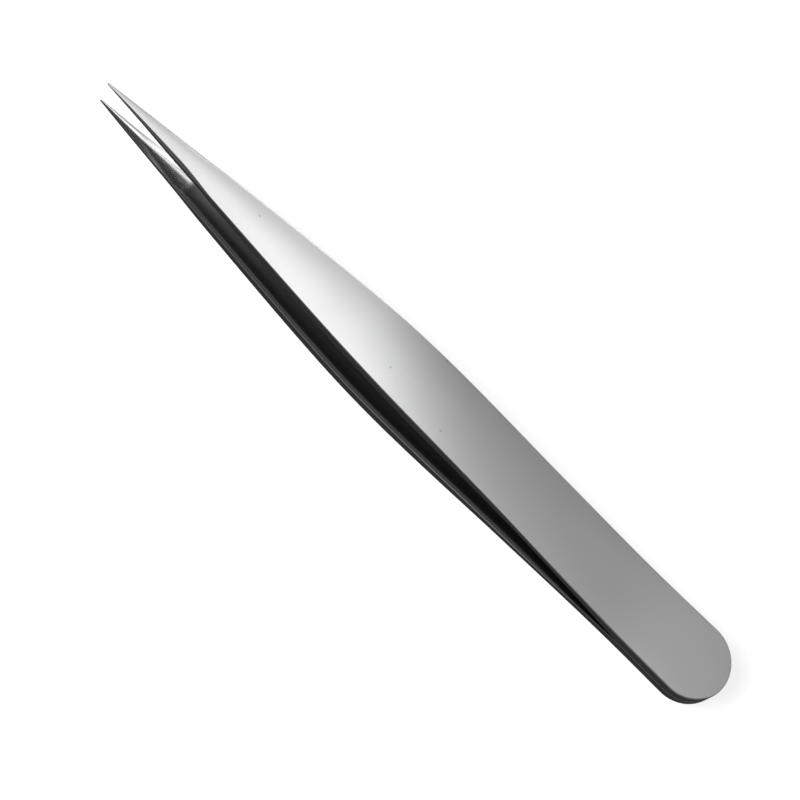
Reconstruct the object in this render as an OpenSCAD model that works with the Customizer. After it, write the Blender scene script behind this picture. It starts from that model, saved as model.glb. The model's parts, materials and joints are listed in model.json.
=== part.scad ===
// Precision tweezers: two sprung stainless arms, welded together at the tail.
//
// Each arm is one blank with three zones: a flat tang in the welded tail, a thin neck that
// flexes, and a tapering blade that ends in a fine point. A hinge stands in for the flexing,
// so each blank is cut across its neck: the tang stays with the tail, the arm turns.
//
// The origin is half way along, on the plane between the arms. +X runs to the points and
// +Z to the upper arm. Inside the modules x is measured from the tail end.

/* [Overall] */
// Length from the tail end to the points
length = 110; // [105:1:120]
// How far the arms are squeezed: 0 is at rest, 1 has the points touching
squeeze = 0; // [0:0.1:1]

/* [Outline from above] */
// Width across the tail
tail_w = 10.8; // [10:0.1:12]
// Width of the body
body_w = 9.8; // [9:0.1:10.5]
// Width of each point
point_w = 0.24; // [0.2:0.02:0.5]
// Half angle of each point
point_deg = 5.7; // [4:0.1:6]

/* [Profile from the side] */
// Thickness of each tang
tang_t = 1.55; // [1.3:0.05:1.8]
// Distance between the outer faces at the widest place of the open arms
spread = 8.6; // [8:0.1:9.2]
// Thickness of each blade below the widest place
blade_t = 1.85; // [1.5:0.05:2.1]
// Thickness of each point
point_t = 0.18; // [0.15:0.01:0.4]
// Opening between the points at rest
opening = 4.7; // [4:0.1:5.5]
// Angle at which the inner face of a neck leaves the parting plane
parting_deg = 13.5; // [12:0.5:14]

/* [Flexing neck] */
// Radius of the rounded end that each arm turns on
knuckle_r = 1; // [0.8:0.05:1.2]
// Clearance between that end and its tang
knuckle_gap = 0.05; // [0.02:0.01:0.1]

/* [Spot welds] */
// Number of weld nuggets along the tail
weld_count = 3; // [2:1:3]
// Radius of a weld nugget
weld_r = 1.4; // [1:0.1:1.5]
// Depth that a weld nugget reaches into each tang
weld_depth = 0.5; // [0.3:0.05:0.6]

/* [Hidden] */
$fn = 96;

curve_steps = 16;
tail_steps = 20;
tail_r = tail_w / 2;

// Stations along the length
weld_end = 0.1 * length;
parting_x = 0.13 * length;
pivot_x = 0.275 * length;
body_x = 0.33 * length;
shoulder_x = 0.412 * length;
crest_x = 0.57 * length;

// Heights above the parting plane
crest_z = spread / 2;
blade_z = crest_z - blade_t;
point_z = opening / 2;

// Middle of the neck at the cut, where the arm turns
pivot_z = 0.0182 * length;
// Turn that brings the inner corners of the points onto the parting plane
reach = norm([length - pivot_x, point_z - pivot_z]);
close_deg = atan2(point_z - pivot_z, length - pivot_x) + asin(pivot_z / reach);
// Share of that turn kept in reserve, so that the points touch and don't press
closed_share = 0.995;

function bezier(p, t) =
    pow(1 - t, 3) * p[0] + 3 * t * pow(1 - t, 2) * p[1] + 3 * pow(t, 2) * (1 - t) * p[2]
    + pow(t, 3) * p[3];
function curve(p) = [for (i = [1:curve_steps]) bezier(p, i / curve_steps)];
function backwards(points) = [for (i = [len(points) - 1:-1:0]) points[i]];

// Half of the outline, from the rounded tail end to the point
function half_outline() =
    let (
        tail_arc = [for (i = [1:tail_steps]) let (a = 90 * i / tail_steps)
            tail_r * [1 - cos(a), sin(a)]],
        point_run = 0.405 * length,
        shoulder = [shoulder_x, body_w / 2],
        shoulder_handle = shoulder + [0.172 * length, 0],
        point = [length, point_w / 2],
        point_handle = point + point_run * [-1, tan(point_deg)]
    )
    concat(
        tail_arc,
        [[body_x, body_w / 2], shoulder],
        curve([shoulder, shoulder_handle, point_handle, point])
    );

// Outer face of the upper arm from the side, tail to point
function outer_face() =
    let (
        start = [weld_end, tang_t],
        crest = [crest_x, crest_z],
        point = [length, point_z + point_t]
    )
    concat(
        [[0, tang_t], start],
        curve([start, start + [0.12 * length, 0], crest - [0.19 * length, 0], crest]),
        curve([crest, crest + [0.04 * length, 0], point + length * [-0.08, 0.0112], point])
    );

// Inner face of the upper arm from the side, tail to point
function inner_face() =
    let (
        start = [parting_x, 0],
        start_handle = start + 0.054 * length * [1, tan(parting_deg)],
        crest = [crest_x, blade_z],
        point = [length, point_z]
    )
    concat(
        [[0, 0], start],
        curve([start, start_handle, crest - [0.05 * length, 0], crest]),
        curve([crest, crest + [0.1 * length, 0], point - length * [0.2, 0.0032], point])
    );

// The whole upper blank, before it is cut at the neck
module blank() {
    intersection() {
        rotate([90, 0, 0])
            linear_extrude(tail_w + 2, center = true)
                polygon(concat(outer_face(), backwards(inner_face())));
        translate([0, 0, -1])
            linear_extrude(crest_z + 2)
                polygon(concat(
                    [[0, 0]],
                    half_outline(),
                    [for (p = backwards(half_outline())) [p[0], -p[1]]]
                ));
    }
}

// A rod across the neck, on the axis that the arm turns about
module across_neck(r) {
    translate([pivot_x, 0, pivot_z])
        rotate([90, 0, 0])
            cylinder(r = r, h = tail_w + 4, center = true);
}

// Everything behind or in front of the pivot
module behind_pivot() {
    translate([-1, -tail_w, -1])
        cube([pivot_x + 1, 2 * tail_w, crest_z + 2]);
}

module ahead_of_pivot() {
    translate([pivot_x, -tail_w, -1])
        cube([length, 2 * tail_w, crest_z + 2]);
}

// One nugget for each weld, spaced evenly over the flat of the tail
module nuggets() {
    pitch = weld_end / weld_count;
    for (i = [0:weld_count - 1])
        translate([(i + 0.65) * pitch, 0, 0])
            cylinder(r = weld_r, h = 2 * weld_depth, center = true);
}

module tang() {
    difference() {
        intersection() {
            blank();
            behind_pivot();
        }
        across_neck(knuckle_r + knuckle_gap);
        nuggets();
    }
}

module arm() {
    intersection() {
        blank();
        union() {
            ahead_of_pivot();
            across_neck(knuckle_r);
        }
    }
}

// Turns the upper arm towards the parting plane
module squeezed() {
    translate([pivot_x, 0, pivot_z])
        rotate([0, squeeze * closed_share * close_deg, 0])
            translate([-pivot_x, 0, -pivot_z])
                children();
}

// From the tail end to the middle of the tweezers
module centred() {
    translate([-length / 2, 0, 0])
        children();
}

module upper_tang() {
    color("silver") centred() tang();
}

module lower_tang() {
    color("silver") mirror([0, 0, 1]) centred() tang();
}

module spot_welds() {
    color("dimgray") centred() nuggets();
}

module upper_arm() {
    color("gainsboro") centred() squeezed() arm();
}

module lower_arm() {
    color("gainsboro") mirror([0, 0, 1]) centred() squeezed() arm();
}

upper_tang();
lower_tang();
spot_welds();
upper_arm();
lower_arm();
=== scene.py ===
"""Precision tweezers: two satin stainless arms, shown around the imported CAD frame."""

import json
import math

import bmesh
import bpy
import numpy as np
from mathutils import Matrix, Vector
from mathutils.bvhtree import BVHTree


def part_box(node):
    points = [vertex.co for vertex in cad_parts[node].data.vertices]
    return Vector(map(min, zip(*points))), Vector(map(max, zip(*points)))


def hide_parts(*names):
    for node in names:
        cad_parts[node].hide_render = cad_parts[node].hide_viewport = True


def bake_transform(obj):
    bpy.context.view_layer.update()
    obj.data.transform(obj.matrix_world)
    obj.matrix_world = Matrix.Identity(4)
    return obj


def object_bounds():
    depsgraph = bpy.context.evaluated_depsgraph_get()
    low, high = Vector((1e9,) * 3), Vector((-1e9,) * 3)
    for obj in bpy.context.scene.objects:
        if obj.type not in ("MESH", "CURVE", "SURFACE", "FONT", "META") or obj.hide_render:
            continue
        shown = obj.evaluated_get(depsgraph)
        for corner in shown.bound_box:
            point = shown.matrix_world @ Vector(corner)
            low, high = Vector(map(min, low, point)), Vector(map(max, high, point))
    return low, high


MM = 0.001

# Mesh density
TAIL_ARC_STEPS = 22
BODY_STEP = 1.0 * MM
POINT_STEP = 0.35 * MM
POINT_ZONE = 16 * MM
FACE_STEPS = 30
EDGE_STEPS = 6
WALL_STEPS = 3
NOSE_STEPS = 3
MERGE_DISTANCE = 1e-4 * MM
SLIVER_LENGTH = 1e-6 * MM

# Reading the CAD arm by rays: where they start, how finely, and what they step around
RAY_START = 0.1
SCAN_STEPS = 900
SHAPE_STEPS = 1101
KNUCKLE_RADIUS = 1.3 * MM
SIDE_RAY_DEPTH = 0.05 * MM
INNER_RAY_SHARE = 0.6
SLOPE_STEP = 0.3 * MM
SMOOTHING = 1.4 * MM

# Where the flat tang turns into the blade, measured from the tail's end
BLADE_START = 16 * MM
BLADE_FULL = 34 * MM

# Edges of the blanks, as (inset, depth): crisp outside, rolled over inside. Toward the points, measured from
# there, they grow or shrink to shares of the half width and the thickness, and never pass the limits
TANG_OUTER_EDGE = (0.2 * MM, 0.45 * MM)
BLADE_OUTER_EDGE = (0.14 * MM, 0.14 * MM)
TANG_INNER_EDGE = (0.12 * MM, 0.05 * MM)
BLADE_INNER_EDGE = (1.6 * MM, 0.4 * MM)
SOFT_START = 20 * MM
SOFT_FULL = 13.5 * MM
INNER_SOFT_START = 20 * MM
INNER_SOFT_FULL = 15.8 * MM
SOFT_OUTER = (0.34, 0.3)
SOFT_INNER = (0.06, 0.06)
EDGE_LIMITS = (0.94, 0.42)

# The ground inner faces fall away from a ridge, which runs off centre with the distance from the point
POINT_DOME = 0.3 * MM
POINT_DOME_SHARE = 0.35
POINT_DOME_POWER = 1.35
RIDGE_START = 7 * MM
RIDGE_SLOPE = 0.068
RIDGE_LIMIT = 0.5

# The outer faces are very slightly domed: a rim at the tail, a full crown along the blade. The limit is a
# share of the half width
TAIL_CROWN = 0.008 * MM
TAIL_RIM = 3.2 * MM
BLADE_CROWN = 0.075 * MM
CROWN_LIMIT = 0.03
TAIL_CROWN_POWER = 3.0
BLADE_CROWN_POWER = 2.0
NOSE_LENGTH = 0.08 * MM

# Finish of the steel. Outward is 1 on the outer faces, -1 on the inner ones and 0 on the walls between;
# lengths are measured from the point; noise scales are cells per metre along x, y and z
STEEL_COLOUR = (0.63, 0.63, 0.635)
# Painted shade: this tone darkens the flat inner faces behind the points, in the gap between the arms; the
# added roughness beside it is the finish.
INNER_SHADE_TONE = 0.27
DULL_ROUGHNESS = 0.22
DULL_AND_SHADE_OUTWARD = (-0.75, -0.15)
DULL_AND_SHADE_END = (16.7 * MM, 15.2 * MM)
LEANING_OUTWARD = (-0.992, -0.955)
LEANING_SHARE = 0.3
NOISE_SPAN = (0.3, 0.7)
ROUGHNESS = (0.2, 0.23)
GRAIN_SCALE = (5000, 9000, 9000)
GRAIN_HEIGHT = 0.5
WAVES_SCALE = (90, 160, 160)
WAVES_TONE = 0.97
PITS_SCALE = (900, 900, 900)
PITS_SPAN = (0.77, 0.82)
PITS_TONE = 0.75
GRINDING_SCALE = (9000, 500, 500)
GRINDING_START = (19 * MM, 15 * MM)
GRINDING_HEIGHT = 2.0
GRINDING_OUTWARD = (-0.3, 0.3)
GRINDING_INSIDE = 0.06
STEEL_BUMP = 0.16
STEEL_BUMP_DEPTH = 0.002 * MM

# Finish of the weld nuggets
WELD_COLOUR = (0.36, 0.35, 0.34)
WELD_SCALE = (4000, 4000, 4000)
WELD_TONE = 0.8
WELD_ROUGHNESS = 0.5
WELD_BUMP = 0.5
WELD_BUMP_DEPTH = 0.01 * MM

# The studio light, as seen in each direction. Spans named FADE, EDGE or RISE, and BOX_REAR, are leans from
# straight up in degrees: x leans toward the points and y toward the near side. Spans named AXIS are parts
# of the direction itself, a vector of length 1. The rest are brightnesses, shares of them, and the slant
SKY_GREY = 0.465
SKY_TAIL_FADE = (-28, -15)
SKY_TAIL_SHARE = 0.6
SKY_SIDE_FADE = (-65, -35)
SKY_SIDE = 0.35
BOX_WHITE = 1.85
BOX_FADE_IN = (-6.3, 5.5)
BOX_FADE_OUT = (10, 15)
BOX_FAR_SHARE = 0.75
BOX_SIDE_FADE = (22, 50)
BOX_SIDE_SHARE = 0.5
BOX_SLANT = 0.9
BOX_REAR = 26
REAR_FADE = (-32, -25.7)
REAR_SHARE = 0.3
REAR_TAIL_SHARE = 0.75
REAR_TAIL_FADE = (-12, -7)
REAR_BOX_WHITE = 3.2
REAR_BOX_START_AXIS = (0.06, 0.09)
REAR_BOX_END_AXIS = (0.18, 0.21)
REAR_BOX_FADE = (-40, -34)
REAR_BOX_EDGE = (-74, -65)
REAR_RISE = (-62, -42)
REAR_RISE_SHARE = 0.9
FRONT_FADE = (-12, 12)
FRONT_DARK = 0.08
FRONT_LOW_FADE = (50, 74)
FRONT_LOW = 0.5
FRONT_LOW_AXIS = (0.08, 0.2)
FRONT_LOW_SHARE = 0.35
SIDE_AXIS = (-0.25, 0.3)
SIDE_SHARES = (0.55, 1.5)
NEAR_SIDE_AXIS = (-0.25, 0.15)
HORIZON_AXIS = (-0.12, 0.02)
BELOW_FRONT = 0.042
BELOW_REAR = 0.06
BELOW_FRONT_SIDE = 0.1
BELOW_REAR_SIDE = 0.75
BELOW_AXIS = (-0.7, -0.3)

# The background, and a floor whose glow turns into it between two distances
WHITE = 1.1
PLAIN = (1, 1, 1, 1)
FLOOR_REACH = 3.0
FLOOR_PAPER = (0.32, 0.32, 0.32, 1)
FLOOR_GLOW = 0.87
FLOOR_FADE = (0.12, 0.4)
FLOOR_LIGHT_SIDE = (0.45, 0.5, 0.74)
FLOOR_LIGHT_DISTANCE = 0.8
FLOOR_LIGHT_SIZE = 0.4
FLOOR_LIGHT_POWER = 6.5

# Camera: its tilt from straight down toward the near side, its roll, and how far the lens stands off
VIEW_TILT = math.radians(25.7)
VIEW_ROLL = math.radians(44.24)
VIEW_DISTANCE = 302 * MM
VIEW_TARGET = Vector((0.25, 2.08, 0.0)) * MM
VIEW_LENS = 106.3
VIEW_CLIP_START = 0.01


def smoothstep(value, low, high):
    """0 below low, 1 above high, and a smooth rise between."""
    t = np.clip((value - low) / (high - low), 0.0, 1.0)
    return t * t * (3 - 2 * t)


# ---------------------------------------------------------------- reading the CAD arm

def cad_tree(*names):
    """One search tree over the rest meshes of these CAD nodes."""
    points, faces = [], []
    for name in names:
        mesh = frame["nodes"][name].data
        base = len(points)
        points += [v.co.copy() for v in mesh.vertices]
        faces += [[base + i for i in p.vertices] for p in mesh.polygons]
    return BVHTree.FromPolygons(points, faces)


def smoothed(x, values):
    """A gaussian average along x that keeps straight ends straight."""
    step = x[1] - x[0]
    reach = int(3 * SMOOTHING / step)
    kernel = np.exp(-0.5 * (np.arange(-reach, reach + 1) * step / SMOOTHING) ** 2)
    kernel /= kernel.sum()
    head = 2 * values[0] - values[reach:0:-1]
    tail = 2 * values[-1] - values[-2:-reach - 2:-1]
    return np.convolve(np.concatenate([head, values, tail]), kernel, mode="valid")


def scan(tree, xs):
    """Outer face, inner face and half width of the upper arm at each x."""
    rows = []
    for x in xs:
        outer = tree.ray_cast(Vector((x, 0, RAY_START)), Vector((0, 0, -1)))[0].z
        side = tree.ray_cast(Vector((x, RAY_START, outer - SIDE_RAY_DEPTH)), Vector((0, -1, 0)))[0].y
        inner = tree.ray_cast(Vector((x, INNER_RAY_SHARE * side, -RAY_START)), Vector((0, 0, 1)))[0].z
        rows.append((outer, inner, side))
    return np.array(rows).T


class ArmShape:
    """Outer face, inner face and half width of the upper arm along x, read off the CAD solids."""

    def __init__(self):
        tree = cad_tree("upper_tang", "upper_arm")
        tang_low, tang_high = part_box("upper_tang")
        arm_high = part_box("upper_arm")[1]
        pivot = frame["joints"][0]["pos_m"][0]
        self.tail = tang_low.x
        self.point = arm_high.x
        self.tail_radius = tang_high.y
        xs = np.linspace(self.tail, self.point, SCAN_STEPS)[1:-1]
        xs = xs[np.abs(xs - pivot) > KNUCKLE_RADIUS]
        outer, inner, side = scan(tree, xs)
        self.x = np.linspace(self.tail, self.point, SHAPE_STEPS)
        self.outer = smoothed(self.x, np.interp(self.x, xs, outer))
        self.inner = np.maximum(smoothed(self.x, np.interp(self.x, xs, inner)), 0.0)
        straight = xs > self.tail + self.tail_radius
        self.side = smoothed(self.x, np.interp(self.x, xs[straight], side[straight]))

    def outer_at(self, x):
        return np.interp(x, self.x, self.outer)

    def inner_at(self, x):
        return np.interp(x, self.x, self.inner)

    def side_at(self, x):
        return np.interp(x, self.x, self.side)

    def side_and_normal(self, x):
        """Half width at x, and the plan direction that points into the blank from that edge."""
        slope = (self.side_at(x + SLOPE_STEP) - self.side_at(x - SLOPE_STEP)) / (2 * SLOPE_STEP)
        length = math.hypot(1, slope)
        return float(self.side_at(x)), float(slope / length), float(-1 / length)

    def depth_in(self, x, y):
        """How far a point of the plan lies inside the outline: radially at the tail, across elsewhere."""
        centre = self.tail + self.tail_radius
        if x < centre:
            return self.tail_radius - math.hypot(x - centre, y)
        return float(self.side_at(x)) - y


# ---------------------------------------------------------------- the steel arms

def outline_stations(shape):
    """Points of the outline from the tail's end to the point: (x, y, inward normal x, inward normal y)."""
    radius = shape.tail_radius
    stations = []
    for i in range(TAIL_ARC_STEPS):
        a = 0.5 * math.pi * i / TAIL_ARC_STEPS
        x = shape.tail + radius * (1 - math.cos(a))
        stations.append((x, radius * math.sin(a), math.cos(a), -math.sin(a)))
    x = shape.tail + radius
    end = shape.point - NOSE_LENGTH
    while x < end:
        stations.append((x, *shape.side_and_normal(x)))
        near = smoothstep(x, shape.point - 2 * POINT_ZONE, shape.point - POINT_ZONE)
        x += BODY_STEP + (POINT_STEP - BODY_STEP) * float(near)
    stations.append((end, *shape.side_and_normal(end)))
    return stations


class Section:
    """The cross section of the upper arm at one station of its outline."""

    def __init__(self, shape, x):
        self.shape = shape
        width = float(shape.side_at(max(x, shape.tail + shape.tail_radius)))
        thick = float(shape.outer_at(x) - shape.inner_at(x))
        soft = float(1 - smoothstep(shape.point - x, SOFT_FULL, SOFT_START))
        blade = float(smoothstep(x - shape.tail, BLADE_START, BLADE_FULL))
        whole = (width, thick)
        self.outer_edge = edge_size(TANG_OUTER_EDGE, BLADE_OUTER_EDGE, SOFT_OUTER, blade, soft, whole)
        self.inner_edge = edge_size(TANG_INNER_EDGE, BLADE_INNER_EDGE, SOFT_INNER, blade, soft, whole)
        soft_inside = float(1 - smoothstep(shape.point - x, INNER_SOFT_FULL, INNER_SOFT_START))
        self.dome = soft_inside * min(POINT_DOME, POINT_DOME_SHARE * thick)
        drift = RIDGE_SLOPE * max(0.0, shape.point - x - RIDGE_START)
        self.ridge = -min(drift, RIDGE_LIMIT * width)
        self.width = width
        self.rim = TAIL_RIM + blade * (width - TAIL_RIM)
        self.crown = min(TAIL_CROWN + blade * (BLADE_CROWN - TAIL_CROWN), CROWN_LIMIT * width)
        self.power = TAIL_CROWN_POWER + blade * (BLADE_CROWN_POWER - TAIL_CROWN_POWER)

    def outer(self, x, y, depth_in):
        """Height of the outer face this far inside the outline, the same at any y."""
        rise = max(0.0, 1 - depth_in / self.rim) ** self.power
        return float(self.shape.outer_at(x)) - self.crown * rise - rolled(depth_in, *self.outer_edge)

    def inner(self, x, y, depth_in):
        """Height of the inner face, which falls away from its ridge near the point."""
        rise = self.dome * min(1.0, abs(y - self.ridge) / (self.width - self.ridge)) ** POINT_DOME_POWER
        return float(self.shape.inner_at(x)) + rise + rolled(depth_in, *self.inner_edge)


def edge_size(tang_edge, blade_edge, soft_shares, blade, soft, whole):
    """Inset and depth of an edge: from the tang's to the blade's, then shares of the whole at the points."""
    sizes = []
    for i in range(2):
        size = tang_edge[i] + blade * (blade_edge[i] - tang_edge[i])
        size += soft * (soft_shares[i] * whole[i] - size)
        sizes.append(min(size, EDGE_LIMITS[i] * whole[i]))
    return sizes


def rolled(depth_in, inset, depth):
    """How far an elliptical edge has dropped this far inside the outline."""
    share = max(0.0, 1 - depth_in / inset)
    return depth * (1 - math.sqrt(1 - share * share))


def ring(shape, station):
    """One closed loop of points around the upper arm, at one station of its outline."""
    x, half, nx, ny = station
    section = Section(shape, x)
    quarter = [1 - math.sin(0.5 * math.pi * i / EDGE_STEPS) for i in range(EDGE_STEPS + 1)]
    across = [math.cos(math.pi * i / FACE_STEPS) for i in range(1, FACE_STEPS)]

    def edge(surface, inset, sides):
        plan = [(x + d * nx, sides * (half + d * ny), d) for d in inset]
        return [Vector((px, py, surface(px, py, d))) for px, py, d in plan]

    def face(surface, inset, turn):
        px = x + inset * nx
        py = half + inset * ny
        points = []
        for share in across:
            depth_in = shape.depth_in(px, abs(share) * py)
            at = turn * share * py
            points.append(Vector((px, at, surface(px, at, max(depth_in, inset)))))
        return points

    outer_edge = [q * section.outer_edge[0] for q in quarter]
    inner_edge = [q * section.inner_edge[0] for q in quarter]
    top = section.outer(x, half, 0)
    shares = [i / (WALL_STEPS + 1) for i in range(1, WALL_STEPS + 1)]

    def wall(y):
        low = section.inner(x, y, 0)
        return [Vector((x, y, top + (low - top) * share)) for share in shares]

    loop = face(section.outer, section.outer_edge[0], 1)
    loop += edge(section.outer, outer_edge, -1)
    loop += wall(-half)
    loop += edge(section.inner, inner_edge[::-1], -1)
    loop += face(section.inner, section.inner_edge[0], -1)
    loop += edge(section.inner, inner_edge, 1)
    loop += reversed(wall(half))
    loop += edge(section.outer, outer_edge[::-1], 1)
    return loop


def nose_rings(shape, last):
    """The rounded end of a point: rings that close in on its middle."""
    middle = sum(last, Vector()) / len(last)
    rings = []
    for i in range(1, NOSE_STEPS + 1):
        a = 0.5 * math.pi * i / (NOSE_STEPS + 1)
        centre = Vector((shape.point - NOSE_LENGTH * (1 - math.sin(a)), middle.y, middle.z))
        rings.append([centre + (p - middle) * math.cos(a) for p in last])
    return rings, Vector((shape.point, middle.y, middle.z))


def arm_mesh(name, shape, side):
    """A closed mesh of one arm: side is 1 for the upper arm and -1 for its mirror image."""
    loops = [ring(shape, s) for s in outline_stations(shape)]
    nose, tip = nose_rings(shape, loops[-1])
    loops += nose
    count = len(loops[0])
    points = [Vector((p.x, p.y, side * p.z)) for loop in loops for p in loop]
    points.append(Vector((tip.x, tip.y, side * tip.z)))
    faces = []
    for i in range(len(loops) - 1):
        for j in range(count):
            k = (j + 1) % count
            faces.append((i * count + j, i * count + k, (i + 1) * count + k, (i + 1) * count + j))
    last = (len(loops) - 1) * count
    faces += [(last + j, last + (j + 1) % count, len(points) - 1) for j in range(count)]
    return clean_mesh(name, points, faces)


def clean_mesh(name, points, faces):
    """A mesh with merged poles, outward normals and smooth shading."""
    mesh = bpy.data.meshes.new(name)
    mesh.from_pydata(points, [], faces)
    work = bmesh.new()
    work.from_mesh(mesh)
    bmesh.ops.remove_doubles(work, verts=work.verts, dist=MERGE_DISTANCE)
    bmesh.ops.dissolve_degenerate(work, edges=work.edges, dist=SLIVER_LENGTH)
    bmesh.ops.recalc_face_normals(work, faces=work.faces)
    work.to_mesh(mesh)
    work.free()
    mesh.shade_smooth()
    return mesh


def add_arm(name, shape, side, nodes, material):
    """One arm as a single blank that bends in its neck, in place of its two CAD nodes."""
    piece = bpy.data.objects.new(name, arm_mesh(name, shape, side))
    bpy.context.scene.collection.objects.link(piece)
    piece.data.materials.append(material)
    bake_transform(piece)
    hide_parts(*nodes)


# ---------------------------------------------------------------- materials

class Nodes:
    """Short calls for building a node tree."""

    def __init__(self, tree):
        self.tree = tree
        self.tree.nodes.clear()

    def add(self, kind, inputs=None, **settings):
        node = self.tree.nodes.new(kind)
        for key, value in settings.items():
            setattr(node, key, value)
        for key, value in (inputs or {}).items():
            if isinstance(value, bpy.types.NodeSocket):
                self.tree.links.new(value, node.inputs[key])
            else:
                node.inputs[key].default_value = value
        return node

    def math(self, operation, a, b=0.0):
        return self.add("ShaderNodeMath", {0: a, 1: b}, operation=operation).outputs[0]

    def span(self, value, from_low, from_high, to_low, to_high, kind="SMOOTHSTEP"):
        inputs = {"Value": value, "From Min": from_low, "From Max": from_high}
        inputs |= {"To Min": to_low, "To Max": to_high}
        return self.add("ShaderNodeMapRange", inputs, interpolation_type=kind).outputs["Result"]

    def mix(self, share, a, b):
        return self.add("ShaderNodeMix", {0: share, 2: a, 3: b}, data_type="FLOAT").outputs[0]

    def split(self, vector):
        """The x, y and z of a vector."""
        axes = self.add("ShaderNodeSeparateXYZ", {"Vector": vector})
        return axes.outputs["X"], axes.outputs["Y"], axes.outputs["Z"]

    def noise(self, where, scale, detail, roughness=0.5):
        """Noise with a scale of its own along x, y and z."""
        stretched = self.add("ShaderNodeMapping", {"Vector": where, "Scale": scale}).outputs["Vector"]
        inputs = {"Vector": stretched, "Scale": 1.0, "Detail": detail, "Roughness": roughness}
        return self.add("ShaderNodeTexNoise", inputs).outputs["Fac"]


def new_material(name):
    """An empty material, and the short calls that fill it."""
    material = bpy.data.materials.new(name)
    material.use_nodes = True
    return material, Nodes(material.node_tree)


def metal(n, colour, tone, rough, bump):
    """The end of a metal's node tree; bump is its strength, depth and height."""
    toned = n.add("ShaderNodeVectorMath", {0: colour, "Scale": tone}, operation="SCALE").outputs[0]
    strength, depth, height = bump
    normal = n.add("ShaderNodeBump", {"Strength": strength, "Distance": depth, "Height": height}).outputs[0]
    inputs = {"Base Color": toned, "Metallic": 1.0, "Roughness": rough, "Normal": normal}
    surface = n.add("ShaderNodeBsdfPrincipled", inputs).outputs[0]
    n.add("ShaderNodeOutputMaterial", {"Surface": surface})


def before_point(n, shape, along, distances):
    """0 behind the first distance from the point, 1 past the second."""
    start, full = distances
    return n.span(along, shape.point - start, shape.point - full, 0.0, 1.0)


def dull_and_shade_share(n, shape, along, outward):
    """How much rougher the finish is, and how much shade is painted on: on the inner faces behind the ground
    points, most where they lie flat.
    """
    behind = n.math("SUBTRACT", 1.0, before_point(n, shape, along, DULL_AND_SHADE_END))
    dull_and_shade = n.math("MULTIPLY", n.span(outward, *DULL_AND_SHADE_OUTWARD, 1.0, 0.0), behind)
    return n.math("MULTIPLY", dull_and_shade, n.span(outward, *LEANING_OUTWARD, 1.0, LEANING_SHARE))


def grinding_lines(n, shape, where, along, outward):
    """Height of the lines ground across the points, faint on the inner faces."""
    lines = n.noise(where, GRINDING_SCALE, detail=2.0)
    outside = n.span(outward, *GRINDING_OUTWARD, GRINDING_INSIDE, 1.0)
    near_point = before_point(n, shape, along, GRINDING_START)
    height = n.math("MULTIPLY", near_point, GRINDING_HEIGHT)
    return n.math("MULTIPLY", n.math("MULTIPLY", lines, outside), height)


def satin_steel(shape):
    """Satin stainless: fine grain everywhere, cross-grinding near the points, a few pits, and painted shade
    on the inner faces between the arms.
    """
    material, n = new_material("satin_steel")
    coordinates = n.add("ShaderNodeTexCoord")
    where = coordinates.outputs["Object"]
    along, _, height = n.split(where)
    facing = n.split(coordinates.outputs["Normal"])[2]
    outward = n.math("MULTIPLY", facing, n.math("SIGN", height))
    dull_and_shade = dull_and_shade_share(n, shape, along, outward)

    grain = n.noise(where, GRAIN_SCALE, detail=3.0, roughness=0.6)
    waves = n.noise(where, WAVES_SCALE, detail=2.0)
    pits = n.span(n.noise(where, PITS_SCALE, detail=1.0), *PITS_SPAN, 0.0, 1.0)

    tone = n.span(waves, *NOISE_SPAN, WAVES_TONE, 1.0)
    # Painted shade: the inner faces between the arms are darkened behind the points, as well as made rougher
    # below.
    tone = n.math("MULTIPLY", tone, n.span(dull_and_shade, 0, 1, 1.0, INNER_SHADE_TONE))
    tone = n.math("MULTIPLY", tone, n.span(pits, 0, 1, 1.0, PITS_TONE))
    rough = n.math("ADD", n.span(grain, *NOISE_SPAN, *ROUGHNESS), n.math("MULTIPLY", dull_and_shade, DULL_ROUGHNESS))
    lines = grinding_lines(n, shape, where, along, outward)
    relief = n.math("SUBTRACT", n.math("ADD", n.math("MULTIPLY", grain, GRAIN_HEIGHT), lines), pits)
    metal(n, STEEL_COLOUR, tone, rough, (STEEL_BUMP, STEEL_BUMP_DEPTH, relief))
    return material


def weld_steel():
    """The fused nuggets: duller and greyer, with a coarse frozen grain."""
    material, n = new_material("weld_steel")
    where = n.add("ShaderNodeTexCoord").outputs["Object"]
    cells = n.noise(where, WELD_SCALE, detail=4.0, roughness=0.65)
    tone = n.span(cells, *NOISE_SPAN, WELD_TONE, 1.0)
    metal(n, WELD_COLOUR, tone, WELD_ROUGHNESS, (WELD_BUMP, WELD_BUMP_DEPTH, cells))
    return material


# ---------------------------------------------------------------- stage, light and camera

def floor_material():
    """Pale paper that carries only the softest shadows and glows into the background's white."""
    material, n = new_material("floor_paper")
    paper = n.add("ShaderNodeBsdfDiffuse", {"Color": FLOOR_PAPER}).outputs[0]
    where = n.add("ShaderNodeTexCoord").outputs["Object"]
    away = n.add("ShaderNodeVectorMath", {0: where}, operation="LENGTH").outputs["Value"]
    strength = n.span(away, *FLOOR_FADE, FLOOR_GLOW, WHITE)
    glow = n.add("ShaderNodeEmission", {"Color": PLAIN, "Strength": strength}).outputs[0]
    pale = n.add("ShaderNodeAddShader", {0: paper, 1: glow}).outputs[0]
    below = n.add("ShaderNodeNewGeometry").outputs["Backfacing"]
    clear = n.add("ShaderNodeBsdfTransparent").outputs[0]
    sheet = n.add("ShaderNodeMixShader", {0: below, 1: pale, 2: clear}).outputs[0]
    n.add("ShaderNodeOutputMaterial", {"Surface": sheet})
    return material


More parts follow.
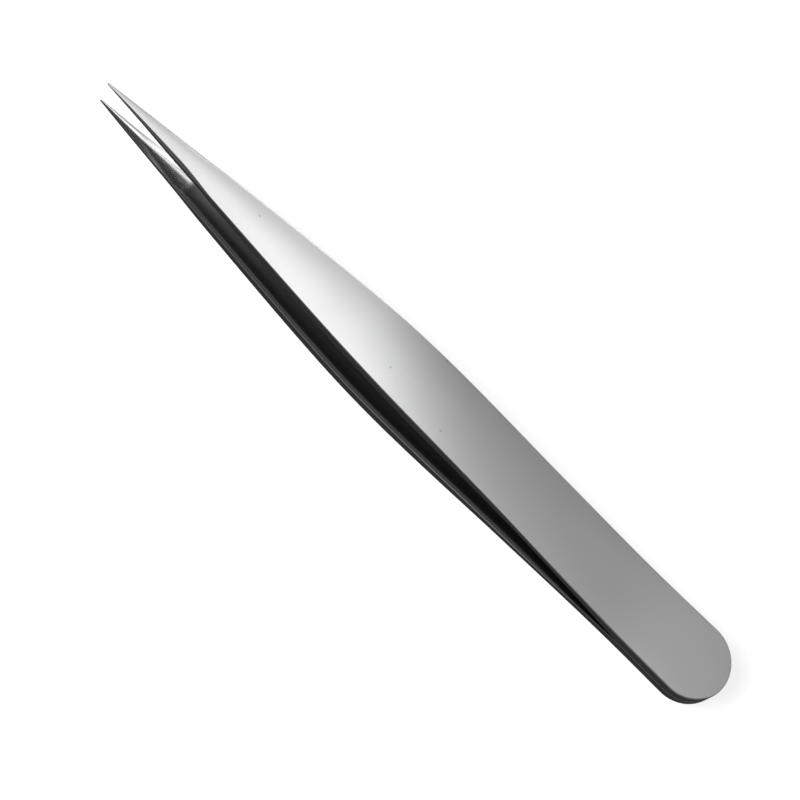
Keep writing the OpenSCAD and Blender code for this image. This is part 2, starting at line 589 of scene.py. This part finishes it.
def add_floor(height):
    """The floor shows from above only, and stays out of reflections."""
    mesh = bpy.data.meshes.new("floor")
    turns = ((-1, -1), (1, -1), (1, 1), (-1, 1))
    corners = [(FLOOR_REACH * x, FLOOR_REACH * y, height) for x, y in turns]
    mesh.from_pydata(corners, [], [(0, 1, 2, 3)])
    floor = bpy.data.objects.new("floor", mesh)
    bpy.context.scene.collection.objects.link(floor)
    floor.data.materials.append(floor_material())
    floor.visible_glossy = False
    floor.visible_diffuse = False


def box_light(n, lean_x, lean_y):
    """A slanted soft box overhead toward the points; the grey sky around it dims toward the tail and rear."""
    across = n.math("ADD", lean_x, n.math("MULTIPLY", n.math("ADD", lean_y, BOX_REAR), BOX_SLANT))
    grey = n.span(lean_x, *SKY_TAIL_FADE, SKY_GREY * SKY_TAIL_SHARE, SKY_GREY)
    grey = n.math("ADD", grey, n.span(lean_x, *SKY_SIDE_FADE, SKY_SIDE, 0.0))
    box = n.math("ADD", grey, n.span(across, *BOX_FADE_IN, 0.0, BOX_WHITE - SKY_GREY))
    box = n.math("MULTIPLY", box, n.span(across, *BOX_FADE_OUT, 1.0, BOX_FAR_SHARE))
    box = n.math("MULTIPLY", box, n.span(lean_x, *BOX_SIDE_FADE, 1.0, BOX_SIDE_SHARE))
    rear_share = n.span(lean_x, *REAR_TAIL_FADE, REAR_TAIL_SHARE, REAR_SHARE)
    rear = n.span(lean_y, *REAR_FADE, rear_share, 1.0, "LINEAR")
    rear = n.math("MAXIMUM", rear, n.span(lean_y, *REAR_RISE, REAR_RISE_SHARE, 0.0))
    return n.math("MULTIPLY", box, rear)


def rear_box_light(n, x, lean_y):
    """A narrow bright box low at the rear, which the far slopes inside the points mirror."""
    start = n.span(x, *REAR_BOX_START_AXIS, 0.0, 1.0)
    end = n.span(x, *REAR_BOX_END_AXIS, 1.0, 0.0)
    band = n.math("MULTIPLY", start, end)
    light = n.math("MULTIPLY", band, n.span(lean_y, *REAR_BOX_FADE, REAR_BOX_WHITE, 0.0))
    return n.math("MULTIPLY", light, n.span(lean_y, *REAR_BOX_EDGE, 0.0, 1.0))


def front_light(n, x, lean_y):
    """The near side: dark, but lighter low down, and less so toward the points."""
    low = n.span(x, *FRONT_LOW_AXIS, FRONT_LOW, FRONT_LOW * FRONT_LOW_SHARE)
    return n.mix(n.span(lean_y, *FRONT_LOW_FADE, 0.0, 1.0), FRONT_DARK, low)


def below_light(n, x, y, z):
    """Under the horizon: dark straight down, lighter sideways, most of all at the rear toward the points."""
    near_side = n.span(y, *NEAR_SIDE_AXIS, 0.0, 1.0)
    rear = n.math("MULTIPLY", n.span(x, *SIDE_AXIS, *SIDE_SHARES), BELOW_REAR_SIDE)
    straight_down = n.mix(near_side, BELOW_REAR, BELOW_FRONT)
    sideways = n.mix(near_side, rear, BELOW_FRONT_SIDE)
    return n.mix(n.span(z, *BELOW_AXIS, 0.0, 1.0), straight_down, sideways)


def studio_light(n, direction):
    """Brightness of the studio in this direction."""
    x, y, z = n.split(direction)
    lean_x = n.math("MULTIPLY", n.math("ARCTAN2", x, z), 180 / math.pi)
    lean_y = n.math("MULTIPLY", n.math("ARCTAN2", y, z), 180 / math.pi)
    not_front = n.span(lean_y, *FRONT_FADE, 1.0, 0.0)
    overhead = n.math("MULTIPLY", box_light(n, lean_x, lean_y), not_front)
    ahead = n.math("MULTIPLY", n.math("SUBTRACT", 1.0, not_front), front_light(n, x, lean_y))
    above = n.math("ADD", n.math("MAXIMUM", overhead, rear_box_light(n, x, lean_y)), ahead)
    return n.mix(n.span(z, *HORIZON_AXIS, 0.0, 1.0), below_light(n, x, y, z), above)


def add_world():
    """The studio as the steel reflects it; plain white where the camera looks past the floor."""
    world = bpy.data.worlds.new("studio")
    bpy.context.scene.world = world
    world.use_nodes = True
    n = Nodes(world.node_tree)
    path = n.add("ShaderNodeLightPath")
    level = studio_light(n, n.add("ShaderNodeTexCoord").outputs["Generated"])
    level = n.math("MULTIPLY", level, n.math("SUBTRACT", 1.0, path.outputs["Is Diffuse Ray"]))
    light = n.add("ShaderNodeBackground", {"Color": PLAIN, "Strength": level}).outputs[0]
    white = n.add("ShaderNodeBackground", {"Color": PLAIN, "Strength": WHITE}).outputs[0]
    camera_ray = path.outputs["Is Camera Ray"]
    mixed = n.add("ShaderNodeMixShader", {0: camera_ray, 1: light, 2: white}).outputs[0]
    n.add("ShaderNodeOutputWorld", {"Surface": mixed})
    world.cycles.sampling_method = "NONE"


def add_floor_light():
    """Lights only the floor, so that the softest of shadows falls behind the tail."""
    light = bpy.data.lights.new("floor_light", "AREA")
    light.shape = "DISK"
    light.size = FLOOR_LIGHT_SIZE
    light.energy = FLOOR_LIGHT_POWER
    lamp = bpy.data.objects.new("floor_light", light)
    bpy.context.scene.collection.objects.link(lamp)
    lamp.visible_glossy = False
    towards = Vector(FLOOR_LIGHT_SIDE)
    lamp.location = towards * FLOOR_LIGHT_DISTANCE
    lamp.rotation_euler = towards.to_track_quat("Z", "Y").to_euler()


def add_camera():
    """The camera looks down on the upper arm, tail to the lower right and points to the upper left."""
    to_tail = Vector((-1, 0, 0))
    to_near_side = Vector((0, math.cos(VIEW_TILT), -math.sin(VIEW_TILT)))
    back = Vector((0, math.sin(VIEW_TILT), math.cos(VIEW_TILT)))
    right = to_tail * math.cos(VIEW_ROLL) - to_near_side * math.sin(VIEW_ROLL)
    up = -(to_tail * math.sin(VIEW_ROLL) + to_near_side * math.cos(VIEW_ROLL))
    data = bpy.data.cameras.new("camera")
    data.lens = VIEW_LENS
    data.clip_start = VIEW_CLIP_START
    camera = bpy.data.objects.new("camera", data)
    bpy.context.scene.collection.objects.link(camera)
    place = Matrix((right, up, back)).transposed().to_4x4()
    place.translation = VIEW_TARGET + VIEW_DISTANCE * back
    camera.matrix_world = place
    bpy.context.scene.camera = camera


def main():
    cad_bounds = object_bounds()
    shape = ArmShape()
    steel = satin_steel(shape)
    add_arm("upper_arm_steel", shape, 1, ("upper_tang", "upper_arm"), steel)
    add_arm("lower_arm_steel", shape, -1, ("lower_tang", "lower_arm"), steel)
    welds = frame["nodes"]["spot_welds"]
    welds.data.materials.clear()
    welds.data.materials.append(weld_steel())

    add_world()
    add_floor_light()
    add_floor(cad_bounds[0][2])
    add_camera()
    bpy.context.scene.view_settings.view_transform = "Standard"


with open("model.json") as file:
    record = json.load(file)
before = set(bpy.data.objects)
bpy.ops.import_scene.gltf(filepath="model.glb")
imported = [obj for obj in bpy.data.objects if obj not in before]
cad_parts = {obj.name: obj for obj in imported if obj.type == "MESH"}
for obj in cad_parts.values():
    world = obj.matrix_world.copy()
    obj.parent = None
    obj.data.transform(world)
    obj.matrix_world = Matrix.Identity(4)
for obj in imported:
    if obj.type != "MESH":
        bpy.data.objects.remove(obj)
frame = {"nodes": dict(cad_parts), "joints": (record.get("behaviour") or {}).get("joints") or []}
main()
